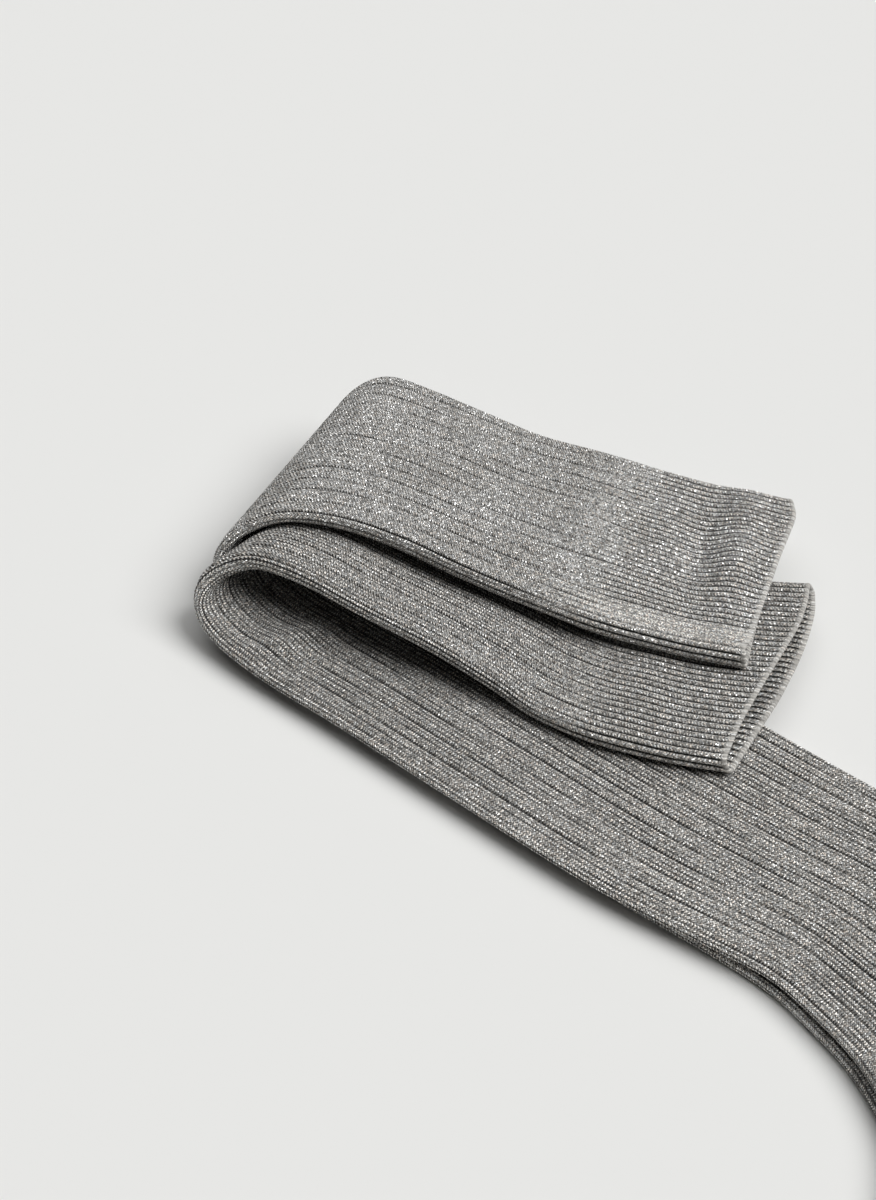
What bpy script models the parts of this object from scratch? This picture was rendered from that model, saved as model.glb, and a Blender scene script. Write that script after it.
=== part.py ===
"""A pair of long ribbed socks, laid on each other and folded over together.

The legs lie flat, run back to a loose round turn at -X, and come back over
themselves to the cuffs. The outer sock wraps round the inner one: it is the
lower one in the bottom run and the upper one on top. Past the ankle both
socks turn at the heel into the foot and close at the toe.

Each sock is a flattened tube: a knitted wall with a thin space inside. It is
lofted through sections, one row of a table each. Sizes are in millimetres in
the tables and metres in the meshes. X runs along the legs towards the feet,
Y across them from the instep edge to the calf edge, and Z is up.
"""
import math
from collections import namedtuple

import bmesh
import bpy
from mathutils import Vector

MM = 0.001

# Driving sizes, in millimetres
WALL = 1.3            # knitted wall, pressed flat
REST = 3.4            # thickness of one pressed sock, both walls
SEAM = 0.3            # gap between neighbouring pieces
STACK_GAP = 0.4       # gap between the two socks where one lies on the other
LOWER_Z = REST / 2                      # middle of the outer sock, on the surface
UPPER_Z = LOWER_Z + REST + STACK_GAP    # middle of the inner sock, on the outer one

# Row origin in the leg frame of the tables: the middle of the pair's footprint
ORIGIN_X = 132.7
ORIGIN_Y = -63.5

# Loft density
FLAT_STEPS = 6        # facets across each flat side of the tube
EDGE_STEPS = 4        # facets round each edge of the tube
CHORD = 24.0          # longest stretch between two rings
BEND = math.radians(30)  # largest bend between two rings
SHARP_ANGLE = math.radians(50)  # edges sharper than this show as creases

# A section of a sock, from its instep edge: x, y, z of that edge, the direction
# across to the calf edge in degrees, flat width, thickness at the instep edge and
# at the calf edge, and how much higher the calf edge lies than the instep edge
Section = namedtuple("Section", "piece x y z across width thick far_thick lift")

INNER_SECTIONS = [
    Section("cuff", 112.0, -11.0, 11.0, 107.4, 83.0, 6.2, 4.6, 0.6),
    Section("cuff", 96.6, -18.6, 10.6, 106.6, 83.0, 6.0, 4.2, -1.0),
    Section("cuff", 78.0, -25.6, 10.6, 106.5, 81.6, 5.8, 4.0, -1.6),
    Section("leg", 60.0, -28.7, 10.8, 107.0, 80.0, 5.4, 4.0, -0.8),
    Section("leg", 48.0, -29.4, 12.8, 107.0, 79.0, 5.0, 4.0, -1.4),
    Section("leg", 28.0, -32.8, 17.3, 107.0, 79.0, 4.8, 3.8, -3.0),
    Section("leg", 4.5, -37.8, 21.2, 107.0, 79.0, 4.8, 3.6, -4.4),
    Section("leg", -16.0, -41.2, 24.0, 106.0, 79.0, 5.6, 3.6, -6.6),
    Section("leg", -31.5, -45.2, 24.3, 102.0, 79.0, 6.2, 3.4, -7.4),
    Section("leg", -39.0, -50.2, 21.2, 98.0, 79.0, 6.2, 3.4, -6.0),
    Section("leg", -43.6, -56.0, 15.6, 96.0, 79.0, 5.6, 3.4, -2.0),
    Section("leg", -40.0, -61.2, 9.8, 96.0, 79.0, 4.8, 3.4, 0.0),
    Section("leg", -27.5, -63.8, 6.4, 97.0, 80.0, 4.0, 3.4, 0.0),
    Section("leg", -8.0, -64.6, UPPER_Z, 96.0, 81.0, REST, REST, 0.0),
    Section("leg", 20.0, -63.8, UPPER_Z, 93.0, 80.0, REST, REST, 0.0),
    Section("leg", 60.0, -63.6, UPPER_Z, 90.0, 79.4, REST, REST, 0.0),
    Section("leg", 110.0, -62.8, UPPER_Z, 90.0, 77.8, REST, REST, 0.0),
    Section("leg", 140.0, -59.4, UPPER_Z, 90.0, 74.2, REST, REST, 0.0),
    Section("leg", 160.0, -57.4, UPPER_Z, 88.0, 73.0, REST, REST, 0.0),
]

OUTER_SECTIONS = [
    Section("cuff", 94.9, 21.2, 17.2, 113.0, 77.4, 7.2, 4.8, 0.2),
    Section("cuff", 79.0, 14.4, 16.6, 112.0, 77.8, 7.0, 4.8, 0.6),
    Section("cuff", 57.0, 6.3, 16.8, 111.0, 78.0, 6.8, 4.6, 0.4),
    Section("leg", 36.3, -0.8, 19.4, 111.0, 77.8, 6.6, 4.4, -0.6),
    Section("leg", 15.5, -7.7, 23.2, 111.0, 77.6, 6.6, 4.2, -4.0),
    Section("leg", -3.4, -12.8, 26.6, 111.0, 77.4, 6.4, 4.0, -4.6),
    Section("leg", -21.7, -18.9, 28.2, 111.0, 78.0, 5.6, 3.8, -2.8),
    Section("leg", -36.0, -27.0, 27.8, 110.0, 79.4, 4.4, 3.6, 0.6),
    Section("leg", -44.6, -35.0, 24.2, 108.4, 79.4, 4.2, 3.6, 1.0),
    Section("leg", -49.8, -41.6, 17.4, 107.4, 79.0, 3.8, 3.6, 0.0),
    Section("leg", -49.8, -44.6, 9.6, 107.0, 79.0, 3.6, 3.6, 0.0),
    Section("leg", -42.0, -45.8, 3.6, 108.0, 79.0, 3.6, 3.6, 0.0),
    Section("leg", -27.0, -47.4, LOWER_Z, 107.0, 79.0, REST, REST, 0.0),
    Section("leg", 0.0, -51.6, LOWER_Z, 102.0, 79.0, REST, REST, 0.0),
    Section("leg", 30.0, -56.8, LOWER_Z, 95.0, 79.0, REST, REST, 0.0),
    Section("leg", 60.0, -60.6, LOWER_Z, 91.0, 80.0, REST, REST, 0.0),
    Section("leg", 110.0, -59.8, LOWER_Z, 90.0, 77.5, REST, REST, 0.0),
    Section("leg", 140.0, -58.2, LOWER_Z, 90.0, 75.0, REST, REST, 0.0),
    Section("leg", 160.0, -58.0, LOWER_Z, 88.0, 74.4, REST, REST, 0.0),
]

# How far the underside of each cuff reaches past its upper side at the rim
INNER_LIP = 4.0
OUTER_LIP = 0.6

# From the ankle on, both socks have the same outline
FootRow = namedtuple("FootRow", "piece x y across width")
FOOT_ROWS = [
    FootRow("leg", 174.0, -60.8, 85.0, 75.6),
    FootRow("heel", 188.0, -65.0, 78.5, 82.0),
    FootRow("heel", 199.0, -71.0, 73.0, 90.0),
    FootRow("heel", 207.0, -77.6, 68.5, 95.4),
    FootRow("heel", 212.5, -85.0, 63.5, 95.5),
    FootRow("heel", 216.5, -92.0, 58.5, 91.5),
    FootRow("heel", 220.5, -100.0, 53.0, 87.0),
    FootRow("foot", 226.0, -111.0, 47.0, 83.0),
    FootRow("foot", 234.0, -126.5, 41.0, 80.0),
    FootRow("foot", 245.0, -148.0, 35.0, 78.5),
    FootRow("foot", 259.0, -175.5, 29.5, 78.0),
    FootRow("toe", 269.5, -196.0, 27.0, 77.0),
    FootRow("toe", 277.0, -207.5, 27.0, 70.0),
    FootRow("toe", 287.0, -216.0, 27.0, 54.0),
    FootRow("toe", 296.0, -219.5, 27.0, 36.0),
]
PIECES = ("cuff", "leg", "heel", "foot", "toe")

# The inner sock's foot lies this far along X and Y from the outer one's
INNER_FOOT_SHIFT = (1.0, 0.8)

Finish = namedtuple("Finish", "color roughness metallic")
FINISHES = {
    "cuff": Finish((0.30, 0.29, 0.27, 1.0), 0.85, 0.05),
    "leg": Finish((0.24, 0.235, 0.225, 1.0), 0.85, 0.05),
    "heel": Finish((0.22, 0.215, 0.205, 1.0), 0.88, 0.03),
    "foot": Finish((0.24, 0.235, 0.225, 1.0), 0.85, 0.05),
    "toe": Finish((0.22, 0.215, 0.205, 1.0), 0.88, 0.03),
}


def foot_sections(z, shift):
    """The shared foot rows at a sock's own height and place."""
    sections = []
    for row in FOOT_ROWS:
        x, y = row.x + shift[0], row.y + shift[1]
        sections.append(Section(row.piece, x, y, z, row.across, row.width, REST, REST, 0.0))
    return sections


def edge_points(row):
    """Instep and calf edge of a section, in millimetres."""
    across = math.radians(row.across)
    near = Vector((row.x, row.y, row.z))
    far = near + Vector((math.cos(across) * row.width, math.sin(across) * row.width, row.lift))
    return near, far


def spline(before, start, end, after, part):
    """Point of a smooth curve between start and end, through all four."""
    square, cube = part * part, part * part * part
    return (
        start * (2 * cube - 3 * square + 1)
        + end * (3 * square - 2 * cube)
        + (end - before) * 0.5 * (cube - 2 * square + part)
        + (after - start) * 0.5 * (cube - square)
    )


def steps_between(middles, index):
    """How many rings a stretch of the sock takes, from its length and its bend."""
    start, end = middles[index], middles[index + 1]
    arriving = end - middles[max(index - 1, 0)]
    leaving = middles[min(index + 2, len(middles) - 1)] - start
    return max(1, math.ceil((end - start).length / CHORD), math.ceil(arriving.angle(leaving) / BEND))


# A section in place: its two edges and the thickness at each
Ring = namedtuple("Ring", "piece near far thick far_thick")
# The same with the way its upper wall faces, the way the sock goes on, and its lip
Frame = namedtuple("Frame", "near far thick far_thick normal ahead lip")


def between(start, end, part):
    """The value a share of the way from start to end."""
    return start * (1 - part) + end * part


def smooth_rings(rows):
    """Rings of a sock: its table's sections with more between them where it bends."""
    edges = [edge_points(row) for row in rows]
    middles = [(near + far) * 0.5 for near, far in edges]
    last = len(rows) - 1
    rings = []
    for index in range(last):
        row, following = rows[index], rows[index + 1]
        steps = steps_between(middles, index)
        around = [max(index - 1, 0), index, index + 1, min(index + 2, last)]
        for step in range(steps):
            part = step / steps
            near = spline(*(edges[i][0] for i in around), part)
            far = spline(*(edges[i][1] for i in around), part)
            thick = between(row.thick, following.thick, part)
            far_thick = between(row.far_thick, following.far_thick, part)
            near.z = max(near.z, thick / 2)
            far.z = max(far.z, far_thick / 2)
            rings.append(Ring(row.piece, near, far, thick, far_thick))
    end = rows[last]
    rings.append(Ring(end.piece, edges[last][0], edges[last][1], end.thick, end.far_thick))
    return rings


def frames_of(rings, lip):
    """For each ring, which way its upper wall faces and which way the sock goes on."""
    middles = [(ring.near + ring.far) * 0.5 for ring in rings]
    frames = []
    for index, ring in enumerate(rings):
        ahead = middles[min(index + 1, len(rings) - 1)] - middles[max(index - 1, 0)]
        normal = (ring.far - ring.near).cross(ahead).normalized()
        own_lip = lip if index == 0 else 0.0
        sizes = (ring.near, ring.far, ring.thick, ring.far_thick)
        frames.append(Frame(*sizes, normal, ahead.normalized(), own_lip))
    return frames


def outline(frame, inset):
    """Closed ring of points: flat on both sides and round at both edges."""
    middle = (frame.near + frame.far) * 0.5
    across = frame.far - frame.near
    side = across.normalized()
    points = []
    sides = ((1, frame.thick, frame.far_thick), (-1, frame.far_thick, frame.thick))
    for sign, start_thick, end_thick in sides:
        start = (start_thick - across.length) / 2
        end = (across.length - end_thick) / 2
        local = []  # distance across, half thickness there, and the share of it that the point rises
        for step in range(FLAT_STEPS):
            part = step / FLAT_STEPS
            half = between(start_thick, end_thick, part) / 2 - inset
            local.append((between(start, end, part), half, 1.0))
        for step in range(EDGE_STEPS):
            turn = math.pi * step / EDGE_STEPS
            half = end_thick / 2 - inset
            local.append((end + half * math.sin(turn), half, math.cos(turn)))
        for along, half, share in local:
            rise = frame.normal * half * share * sign
            reach = frame.lip * (1 - sign * share) / 2
            points.append(middle + side * along * sign + rise - frame.ahead * reach)
    return points


def add_ring(mesh, points, origin):
    """One ring of mesh points, in metres from the row's origin."""
    return [mesh.verts.new((point - origin) * MM) for point in points]


def bridge(mesh, first, second, outward):
    """Skin between two rings of equal count."""
    count = len(first)
    for index in range(count):
        following = (index + 1) % count
        face = (first[index], first[following], second[following], second[index])
        mesh.faces.new(face if outward else face[::-1])


def tube_piece(name, rings, closed_end):
    """A knitted tube with its space inside; open at both ends, or closed at the toe."""
    origin = Vector((ORIGIN_X, ORIGIN_Y, 0.0))
    mesh = bmesh.new()
    outer = [add_ring(mesh, outline(ring, 0.0), origin) for ring in rings]
    inner_rings = rings[:-1] if closed_end else rings
    inner = [add_ring(mesh, outline(ring, WALL), origin) for ring in inner_rings]
    for first, second in zip(outer, outer[1:]):
        bridge(mesh, first, second, True)
    for first, second in zip(inner, inner[1:]):
        bridge(mesh, first, second, False)
    bridge(mesh, inner[0], outer[0], True)
    if closed_end:
        mesh.faces.new(outer[-1])
        mesh.faces.new(inner[-1][::-1])
    else:
        bridge(mesh, outer[-1], inner[-1], True)
    bmesh.ops.triangulate(mesh, faces=mesh.faces[:])
    bmesh.ops.recalc_face_normals(mesh, faces=mesh.faces[:])
    data = bpy.data.meshes.new(name)
    mesh.to_mesh(data)
    mesh.free()
    piece = bpy.data.objects.new(name, data)
    bpy.context.scene.collection.objects.link(piece)
    return piece


def trimmed(frame, toward):
    """A copy of a ring, moved by half a seam into the piece."""
    step = ((toward.near + toward.far) - (frame.near + frame.far)).normalized() * (SEAM / 2)
    return frame._replace(near=frame.near + step, far=frame.far + step)


def finish(piece, kind):
    """The piece's own yarn colour."""
    look = FINISHES[kind]
    material = bpy.data.materials.new(piece.name + "_knit")
    material.use_nodes = True
    shader = material.node_tree.nodes["Principled BSDF"]
    shader.inputs["Base Color"].default_value = look.color
    shader.inputs["Roughness"].default_value = look.roughness
    shader.inputs["Metallic"].default_value = look.metallic
    piece.data.materials.append(material)
    piece.data.shade_smooth()
    piece.data.set_sharp_from_angle(angle=SHARP_ANGLE)


def build_sock(prefix, rows, lip):
    """All pieces of one sock, cut at the rows where the piece changes."""
    rings = smooth_rings(rows)
    frames = frames_of(rings, lip)
    for kind in PIECES:
        own = [index for index, ring in enumerate(rings) if ring.piece == kind]
        first, last = own[0], own[-1]
        cut = [frames[index] for index in own]
        if first > 0:
            cut[0] = trimmed(frames[first], frames[first + 1])
        if last < len(rings) - 1:
            cut.append(trimmed(frames[last + 1], frames[last]))
        finish(tube_piece(prefix + "_" + kind, cut, kind == "toe"), kind)


for leftover in list(bpy.data.objects):
    bpy.data.objects.remove(leftover, do_unlink=True)

build_sock("outer", OUTER_SECTIONS + foot_sections(LOWER_Z, (0.0, 0.0)), OUTER_LIP)
build_sock("inner", INNER_SECTIONS + foot_sections(UPPER_Z, INNER_FOOT_SHIFT), INNER_LIP)
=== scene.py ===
# %% [markdown]
# # A pair of long ribbed socks, folded over together
#
# Two fine knee-high socks lie flat on each other. Their legs run back to a loose
# round turn, come back over themselves and end in their cuffs. The outer sock wraps
# round the turn, and the inner one lies inside it. Each sock is knitted as a tube:
# a one-by-one rib cuff with a pale welt, a wide-rib leg and foot, and a plain heel
# and toe. A silver metallic yarn runs in with the wool and glints in single stitches.
#
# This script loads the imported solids, puts a finished knit over each of them, and
# sets up the light and the camera.

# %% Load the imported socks
import math
from collections import namedtuple

import bpy
import numpy as np
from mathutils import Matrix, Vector


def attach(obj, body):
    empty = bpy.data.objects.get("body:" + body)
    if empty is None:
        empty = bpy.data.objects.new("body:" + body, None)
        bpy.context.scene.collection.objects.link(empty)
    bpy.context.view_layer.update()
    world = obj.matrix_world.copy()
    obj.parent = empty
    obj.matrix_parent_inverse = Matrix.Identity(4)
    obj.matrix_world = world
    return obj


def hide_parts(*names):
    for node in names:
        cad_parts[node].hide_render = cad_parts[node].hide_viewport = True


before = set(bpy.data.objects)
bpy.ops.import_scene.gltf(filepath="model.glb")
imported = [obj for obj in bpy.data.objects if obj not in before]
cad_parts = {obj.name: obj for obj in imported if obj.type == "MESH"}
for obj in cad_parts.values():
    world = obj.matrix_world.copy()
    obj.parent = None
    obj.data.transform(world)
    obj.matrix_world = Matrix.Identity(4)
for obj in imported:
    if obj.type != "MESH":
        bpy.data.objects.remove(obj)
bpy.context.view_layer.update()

MM = 0.001

# %% [markdown]
# ## Camera
#
# The pair is seen from about 40 degrees above, turned 42 degrees to the legs, so that
# the open end of the fold faces the viewer. The camera is set by its aim point, its
# distance and those two angles, and its lens frames 364 mm on the long side.

# %% Camera
ELEVATION = math.radians(40)
AZIMUTH = math.radians(42)
DISTANCE = 0.600
AIM = Vector((-0.1327, 0.0635, 0.0))
LENS, SENSOR = 59.4, 36.0

away = Vector((-math.sin(AZIMUTH), math.cos(AZIMUTH), 0.0))
toward_eye = Vector((0, 0, math.sin(ELEVATION))) - away * math.cos(ELEVATION)
camera_data = bpy.data.cameras.new("camera")
camera_data.lens = LENS
camera_data.sensor_width = SENSOR
camera = bpy.data.objects.new("camera", camera_data)
camera.location = AIM + toward_eye * DISTANCE
camera.rotation_mode = "QUATERNION"
camera.rotation_quaternion = (-toward_eye).to_track_quat("-Z", "Y")
bpy.context.scene.collection.objects.link(camera)
bpy.context.scene.camera = camera
print("camera at", [round(v / MM, 1) for v in camera.location], "mm")

# %% [markdown]
# ## Floor and light
#
# The socks lie on a plain pale surface, which is only there for the picture. The light
# is soft. A broad sun lamp on the right, half way up, makes the shadows. A second,
# broader one from high up behind lightens what faces the sky, and a faint white
# surround fills the rest. A sun lamp is equally strong everywhere, so the floor keeps
# one even tone.

# %% Floor
FLOOR_SIDE = 8.0
FLOOR_COLOR = (0.80, 0.80, 0.785, 1.0)

bpy.ops.object.select_all(action="DESELECT")
bpy.ops.mesh.primitive_plane_add(size=FLOOR_SIDE, location=(0, 0, 0))
floor = bpy.context.active_object
floor.name = "floor"
floor_material = bpy.data.materials.new("floor_paper")
floor_material.use_nodes = True
floor_shader = floor_material.node_tree.nodes["Principled BSDF"]
floor_shader.inputs["Base Color"].default_value = FLOOR_COLOR
floor_shader.inputs["Roughness"].default_value = 1.0
floor_shader.inputs["Specular IOR Level"].default_value = 0.0
floor.data.materials.append(floor_material)
print("floor is", FLOOR_SIDE, "m square")

# %% White surround
SKY_COLOR = (1.0, 1.0, 0.995, 1.0)
SKY_STRENGTH = 0.04

world = bpy.data.worlds.new("surround")
world.use_nodes = True
sky = world.node_tree.nodes["Background"]
sky.inputs["Color"].default_value = SKY_COLOR
sky.inputs["Strength"].default_value = SKY_STRENGTH
bpy.context.scene.world = world
bpy.context.scene.view_settings.view_transform = "Standard"
bpy.context.scene.view_settings.look = "None"
print("surround strength", SKY_STRENGTH)

# %% Lamps
# Spread and height are in degrees, and turn goes from the right to the back.
Sun = namedtuple("Sun", "name strength spread height turn")
SUNS = [
    Sun("key_sun", 2.50, 42.0, 50.0, -14.0),
    Sun("top_sun", 1.15, 80.0, 72.0, 70.0),
]

right = Vector((math.cos(AZIMUTH), math.sin(AZIMUTH), 0.0))
for sun in SUNS:
    height, turn = math.radians(sun.height), math.radians(sun.turn)
    level = right * math.cos(turn) + away * math.sin(turn)
    toward_sun = level * math.cos(height) + Vector((0, 0, math.sin(height)))
    lamp_data = bpy.data.lights.new(sun.name, "SUN")
    lamp_data.energy = sun.strength
    lamp_data.angle = math.radians(sun.spread)
    lamp = bpy.data.objects.new(sun.name, lamp_data)
    lamp.rotation_mode = "QUATERNION"
    lamp.rotation_quaternion = (-toward_sun).to_track_quat("-Z", "Y")
    bpy.context.scene.collection.objects.link(lamp)
    print(sun.name, "comes from", [round(v, 2) for v in toward_sun])

# %% [markdown]
# ## The lie of each sock
#
# A real sock folded by hand has no simple shape, so each one is set out as a table of
# sections, from its cuff round the fold to the ankle, the same ones that its solid was
# made from. Each row has the place of the instep edge, the direction across to the
# calf edge, the flat width, the thickness at each edge, and how much higher the calf
# edge lies. Sizes are in millimetres. X runs along the lower legs towards the feet and
# Y across them.

# %% Heights of the two socks
WALL = 1.3            # knitted wall, pressed flat
REST = 3.4            # thickness of one pressed sock
STACK_GAP = 0.4       # gap between the two socks where one lies on the other
LOWER_Z = REST / 2
UPPER_Z = LOWER_Z + REST + STACK_GAP
ORIGIN = (132.7, -63.5, 0.0)   # middle of the pair's footprint, in the tables' own places

Section = namedtuple("Section", "piece x y z across width thick far_thick lift")
print("middles of the flat socks lie at", LOWER_Z, "and", UPPER_Z, "mm")

# %% Sections of the inner leg
INNER_SECTIONS = [
    Section("cuff", 112.0, -11.0, 11.0, 107.4, 83.0, 6.2, 4.6, 0.6),
    Section("cuff", 96.6, -18.6, 10.6, 106.6, 83.0, 6.0, 4.2, -1.0),
    Section("cuff", 78.0, -25.6, 10.6, 106.5, 81.6, 5.8, 4.0, -1.6),
    Section("leg", 60.0, -28.7, 10.8, 107.0, 80.0, 5.4, 4.0, -0.8),
    Section("leg", 48.0, -29.4, 12.8, 107.0, 79.0, 5.0, 4.0, -1.4),
    Section("leg", 28.0, -32.8, 17.3, 107.0, 79.0, 4.8, 3.8, -3.0),
    Section("leg", 4.5, -37.8, 21.2, 107.0, 79.0, 4.8, 3.6, -4.4),
    Section("leg", -16.0, -41.2, 24.0, 106.0, 79.0, 5.6, 3.6, -6.6),
    Section("leg", -31.5, -45.2, 24.3, 102.0, 79.0, 6.2, 3.4, -7.4),
    Section("leg", -39.0, -50.2, 21.2, 98.0, 79.0, 6.2, 3.4, -6.0),
    Section("leg", -43.6, -56.0, 15.6, 96.0, 79.0, 5.6, 3.4, -2.0),
    Section("leg", -40.0, -61.2, 9.8, 96.0, 79.0, 4.8, 3.4, 0.0),
    Section("leg", -27.5, -63.8, 6.4, 97.0, 80.0, 4.0, 3.4, 0.0),
    Section("leg", -8.0, -64.6, UPPER_Z, 96.0, 81.0, REST, REST, 0.0),
    Section("leg", 20.0, -63.8, UPPER_Z, 93.0, 80.0, REST, REST, 0.0),
    Section("leg", 60.0, -63.6, UPPER_Z, 90.0, 79.4, REST, REST, 0.0),
    Section("leg", 110.0, -62.8, UPPER_Z, 90.0, 77.8, REST, REST, 0.0),
    Section("leg", 140.0, -59.4, UPPER_Z, 90.0, 74.2, REST, REST, 0.0),
    Section("leg", 160.0, -57.4, UPPER_Z, 88.0, 73.0, REST, REST, 0.0),
]
print(len(INNER_SECTIONS), "sections of the inner cuff and leg")

# %% Sections of the outer leg
OUTER_SECTIONS = [
    Section("cuff", 94.9, 21.2, 17.2, 113.0, 77.4, 7.2, 4.8, 0.2),
    Section("cuff", 79.0, 14.4, 16.6, 112.0, 77.8, 7.0, 4.8, 0.6),
    Section("cuff", 57.0, 6.3, 16.8, 111.0, 78.0, 6.8, 4.6, 0.4),
    Section("leg", 36.3, -0.8, 19.4, 111.0, 77.8, 6.6, 4.4, -0.6),
    Section("leg", 15.5, -7.7, 23.2, 111.0, 77.6, 6.6, 4.2, -4.0),
    Section("leg", -3.4, -12.8, 26.6, 111.0, 77.4, 6.4, 4.0, -4.6),
    Section("leg", -21.7, -18.9, 28.2, 111.0, 78.0, 5.6, 3.8, -2.8),
    Section("leg", -36.0, -27.0, 27.8, 110.0, 79.4, 4.4, 3.6, 0.6),
    Section("leg", -44.6, -35.0, 24.2, 108.4, 79.4, 4.2, 3.6, 1.0),
    Section("leg", -49.8, -41.6, 17.4, 107.4, 79.0, 3.8, 3.6, 0.0),
    Section("leg", -49.8, -44.6, 9.6, 107.0, 79.0, 3.6, 3.6, 0.0),
    Section("leg", -42.0, -45.8, 3.6, 108.0, 79.0, 3.6, 3.6, 0.0),
    Section("leg", -27.0, -47.4, LOWER_Z, 107.0, 79.0, REST, REST, 0.0),
    Section("leg", 0.0, -51.6, LOWER_Z, 102.0, 79.0, REST, REST, 0.0),
    Section("leg", 30.0, -56.8, LOWER_Z, 95.0, 79.0, REST, REST, 0.0),
    Section("leg", 60.0, -60.6, LOWER_Z, 91.0, 80.0, REST, REST, 0.0),
    Section("leg", 110.0, -59.8, LOWER_Z, 90.0, 77.5, REST, REST, 0.0),
    Section("leg", 140.0, -58.2, LOWER_Z, 90.0, 75.0, REST, REST, 0.0),
    Section("leg", 160.0, -58.0, LOWER_Z, 88.0, 74.4, REST, REST, 0.0),
]
print(len(OUTER_SECTIONS), "sections of the outer cuff and leg")

# %% Sections of the feet
OUTER_FOOT_SHIFT = (0.0, 0.0)
INNER_FOOT_SHIFT = (1.0, 0.8)   # the upper foot lies a little off the lower one

FootRow = namedtuple("FootRow", "piece x y across width")
FOOT_ROWS = [
    FootRow("leg", 174.0, -60.8, 85.0, 75.6),
    FootRow("heel", 188.0, -65.0, 78.5, 82.0),
    FootRow("heel", 199.0, -71.0, 73.0, 90.0),
    FootRow("heel", 207.0, -77.6, 68.5, 95.4),
    FootRow("heel", 212.5, -85.0, 63.5, 95.5),
    FootRow("heel", 216.5, -92.0, 58.5, 91.5),
    FootRow("heel", 220.5, -100.0, 53.0, 87.0),
    FootRow("foot", 226.0, -111.0, 47.0, 83.0),
    FootRow("foot", 234.0, -126.5, 41.0, 80.0),
    FootRow("foot", 245.0, -148.0, 35.0, 78.5),
    FootRow("foot", 259.0, -175.5, 29.5, 78.0),
    FootRow("toe", 269.5, -196.0, 27.0, 77.0),
    FootRow("toe", 277.0, -207.5, 27.0, 70.0),
    FootRow("toe", 287.0, -216.0, 27.0, 54.0),
    FootRow("toe", 296.0, -219.5, 27.0, 36.0),
]
PIECES = ("cuff", "leg", "heel", "foot", "toe")


def foot_sections(z, shift):
    """The shared foot rows at a sock's own height and place."""
    sections = []
    for row in FOOT_ROWS:
        x, y = row.x + shift[0], row.y + shift[1]
        sections.append(Section(row.piece, x, y, z, row.across, row.width, REST, REST, 0.0))
    return sections


print(len(FOOT_ROWS), "foot sections for each sock")

# %% [markdown]
# ## From sections to a smooth path
#
# A smooth curve through the sections gives the sock's two edges and its thickness at
# any distance from the rim. That distance is measured along the middle of the sock,
# so every later step can speak of "so many millimetres from the rim".

# %% Curve through the sections
DENSE = 24            # points on the curve between two sections


def section_columns(row):
    """A section as numbers: instep edge, calf edge, and thickness at each."""
    across = math.radians(row.across)
    near = (row.x, row.y, row.z)
    far = (row.x + math.cos(across) * row.width, row.y + math.sin(across) * row.width, row.z + row.lift)
    return (*near, *far, row.thick, row.far_thick)


def spline(before, start, end, after, part):
    """Points of a smooth curve between start and end."""
    square, cube = part ** 2, part ** 3
    return (
        start * (2 * cube - 3 * square + 1)
        + end * (3 * square - 2 * cube)
        + (end - before) * 0.5 * (cube - 2 * square + part)
        + (after - start) * 0.5 * (cube - square)
    )


def curve_through(table):
    """The sections joined by smooth curves, with many rows between each two."""
    last = len(table) - 1
    part = np.arange(DENSE)[:, None] / DENSE
    stretches = []
    for index in range(last):
        around = [table[i] for i in (max(index - 1, 0), index, index + 1, min(index + 2, last))]
        stretches.append(spline(*around, part))
    return np.vstack(stretches + [table[last:]])


print("the curve has", DENSE, "points between two sections")

# %% Evened path
SPACING = 0.5         # millimetres between points of the finished path
SOFTEN = 2.0          # millimetres over which the curve's bends are evened out

Path = namedtuple("Path", "along columns starts")


def distance_along(columns):
    """Distance of each point from the first, along the middle of the sock."""
    middles = (columns[:, 0:3] + columns[:, 3:6]) / 2
    steps = np.linalg.norm(np.diff(middles, axis=0), axis=1)
    return np.concatenate([[0.0], np.cumsum(steps)])


def softened(columns):
    """The same rows with short bends evened out; both ends stay where they are."""
    reach = int(3 * SOFTEN / SPACING)
    weights = np.exp(-((np.arange(-reach, reach + 1) * SPACING / SOFTEN) ** 2) / 2)
    weights /= weights.sum()
    ends = np.vstack([
        2 * columns[0] - columns[reach:0:-1],
        columns,
        2 * columns[-1] - columns[-2:-reach - 2:-1],
    ])
    return np.stack([np.convolve(column, weights, "valid") for column in ends.T], axis=1)


def smooth_path(rows):
    """The sock's edges and thickness, close together, and where each piece starts."""
    columns = curve_through(np.array([section_columns(row) for row in rows]))
    along = distance_along(columns)
    even = np.arange(0.0, along[-1], SPACING)
    columns = softened(np.stack([np.interp(even, along, column) for column in columns.T], axis=1))
    columns[:, 2] = np.maximum(columns[:, 2], columns[:, 6] / 2)   # neither edge goes into the floor
    columns[:, 5] = np.maximum(columns[:, 5], columns[:, 7] / 2)
    starts = {}
    for index, row in enumerate(rows):
        starts.setdefault(row.piece, float(along[index * DENSE]))
    return Path(distance_along(columns), columns, starts)


outer_path = smooth_path(OUTER_SECTIONS + foot_sections(LOWER_Z, OUTER_FOOT_SHIFT))
inner_path = smooth_path(INNER_SECTIONS + foot_sections(UPPER_Z, INNER_FOOT_SHIFT))
for name, path in (("outer", outer_path), ("inner", inner_path)):
    print(name, "sock is", round(float(path.along[-1])), "mm long; pieces start at",
          {kind: round(start) for kind, start in path.starts.items()})

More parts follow.
